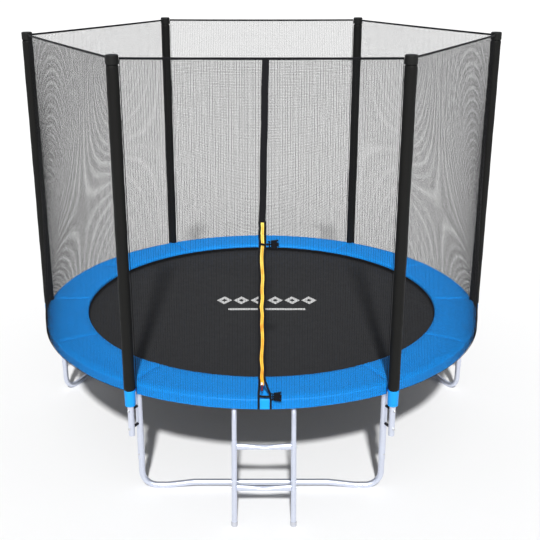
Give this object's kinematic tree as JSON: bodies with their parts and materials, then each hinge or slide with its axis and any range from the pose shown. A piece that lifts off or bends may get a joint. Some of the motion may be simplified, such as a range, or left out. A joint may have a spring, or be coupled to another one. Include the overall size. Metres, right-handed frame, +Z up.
{
  "type": "trampoline",
  "caption": "Round garden trampoline with a blue safety pad, black jumping mat on coil springs, six foam-sleeved poles carrying a zipped mesh enclosure, bent-tube legs and a hook-on ladder.",
  "frame": {"origin": "centre of the ring, projected down on to the ground plane the legs stand on", "axes": "+Z up; -Y towards the entrance and ladder; +X to the right when facing the entrance"},
  "size_m": [3.246, 3.2912, 2.705],
  "materials": {
    "galvanised": "hot-dip galvanised tube, satin",
    "zinc_bolt": "zinc plated, satin",
    "foam_black": "black woven sleeve over foam",
    "cap_black": "black moulded cap",
    "spacer_black": "black moulded spacer",
    "vinyl_blue": "blue vinyl-coated fabric, soft sheen",
    "cuff_blue": "light blue vinyl sleeve",
    "vinyl_under": "black woven underside",
    "foam_white": "white foam core",
    "mat_black": "black woven mat",
    "webbing_black": "black woven webbing",
    "net_black": "black knitted mesh",
    "zip_yellow": "yellow zip tape",
    "zip_coil": "orange nylon coil",
    "slider_metal": "bright cast slider",
    "pull_red": "dark red pull tab",
    "buckle_black": "black moulded buckle",
    "rubber_black": "black foot cap"
  },
  "bodies": {
    "frame": {"top_rail_front": "galvanised", "top_rail_front_right": "galvanised", "top_rail_back_right": "galvanised", "top_rail_back": "galvanised", "top_rail_back_left": "galvanised", "top_rail_front_left": "galvanised", "t_sockets": "galvanised", "leg_extension_tubes": "galvanised", "base_leg_front": "galvanised", "base_leg_left": "galvanised", "base_leg_right": "galvanised", "leg_joint_screws": "zinc_bolt", "pole_lower_tubes": "galvanised", "pole_upper_tubes": "galvanised", "pole_foam_sleeves": "foam_black", "pole_cuffs": "cuff_blue", "pole_caps": "cap_black", "pole_spacers": "spacer_black", "pole_bolts": "zinc_bolt", "pole_washers": "zinc_bolt", "pole_nuts": "zinc_bolt", "springs": "galvanised", "pad_cover": "vinyl_blue", "pad_underside": "vinyl_under", "pad_foam_cores": "foam_white", "pad_ties": "webbing_black", "net_front_right": "net_black", "net_back_right": "net_black", "net_back": "net_black", "net_back_left": "net_black", "net_front_left": "net_black", "net_door_left": "net_black", "net_door_right": "net_black", "net_top_webbing": "webbing_black", "net_centre_band": "webbing_black", "door_bindings": "webbing_black", "zip_tape": "zip_yellow", "zip_coil": "zip_coil", "buckle_sockets": "buckle_black", "buckle_strap_lower": "webbing_black", "buckle_strap_upper": "webbing_black", "buckle_anchor_straps": "webbing_black"},
    "mat": {"jumping_mat": "mat_black", "mat_hem_webbing": "webbing_black", "v_rings": "galvanised"},
    "front_flap": {"skirt_flap": "vinyl_blue", "net_tail_front": "net_black", "door_binding_tails": "webbing_black"},
    "ladder": {"ladder_stile_left": "galvanised", "ladder_stile_right": "galvanised", "ladder_hooks": "galvanised", "ladder_rung_lower": "galvanised", "ladder_rung_upper": "galvanised", "ladder_rung_plugs": "cap_black", "ladder_rung_screws": "zinc_bolt", "ladder_feet": "rubber_black"},
    "zip_slider": {"zip_slider": "slider_metal"},
    "zip_pull": {"zip_pull": "pull_red"},
    "plug_lower": {"buckle_plug_lower": "buckle_black"},
    "plug_upper": {"buckle_plug_upper": "buckle_black"}
  },
  "joints": [
    {"name": "mat_bounce", "type": "slide", "parent": "frame", "child": "mat", "axis": [0, 0, 1], "range_m": [-0.25, 0.015], "stiffness_N_per_m": 6000, "deforming": ["springs"]},
    {"name": "ladder_swing", "type": "hinge", "parent": "frame", "child": "ladder", "pos_m": [0.014, -1.4956, 0.718], "axis": [-1, 0, 0], "range_deg": [0, 35]},
    {"name": "flap_lift", "type": "hinge", "parent": "frame", "child": "front_flap", "pos_m": [0, -1.568, 0.757], "axis": [-1, 0, 0], "range_deg": [0, 42]},
    {"name": "zip_travel", "type": "slide", "parent": "frame", "child": "zip_slider", "axis": [0.0021, 0.1027, 0.9947], "range_m": [0, 0.78]},
    {"name": "zip_pull_swing", "type": "hinge", "parent": "zip_slider", "child": "zip_pull", "pos_m": [0.00203, -1.57244, 0.86312], "axis": [-1, 0, 0], "range_deg": [0, 100]},
    {"name": "lower_buckle_release", "type": "slide", "parent": "frame", "child": "plug_lower", "axis": [-1, 0, 0], "range_m": [0, 0.03], "deforming": ["buckle_strap_lower"]},
    {"name": "upper_buckle_release", "type": "slide", "parent": "frame", "child": "plug_upper", "axis": [-1, 0, 0], "range_m": [0, 0.03], "deforming": ["buckle_strap_upper"]}
  ],
  "couplings": [
    {"joint": "flap_lift", "follows": "ladder_swing", "ratio": 1.2}
  ]
}
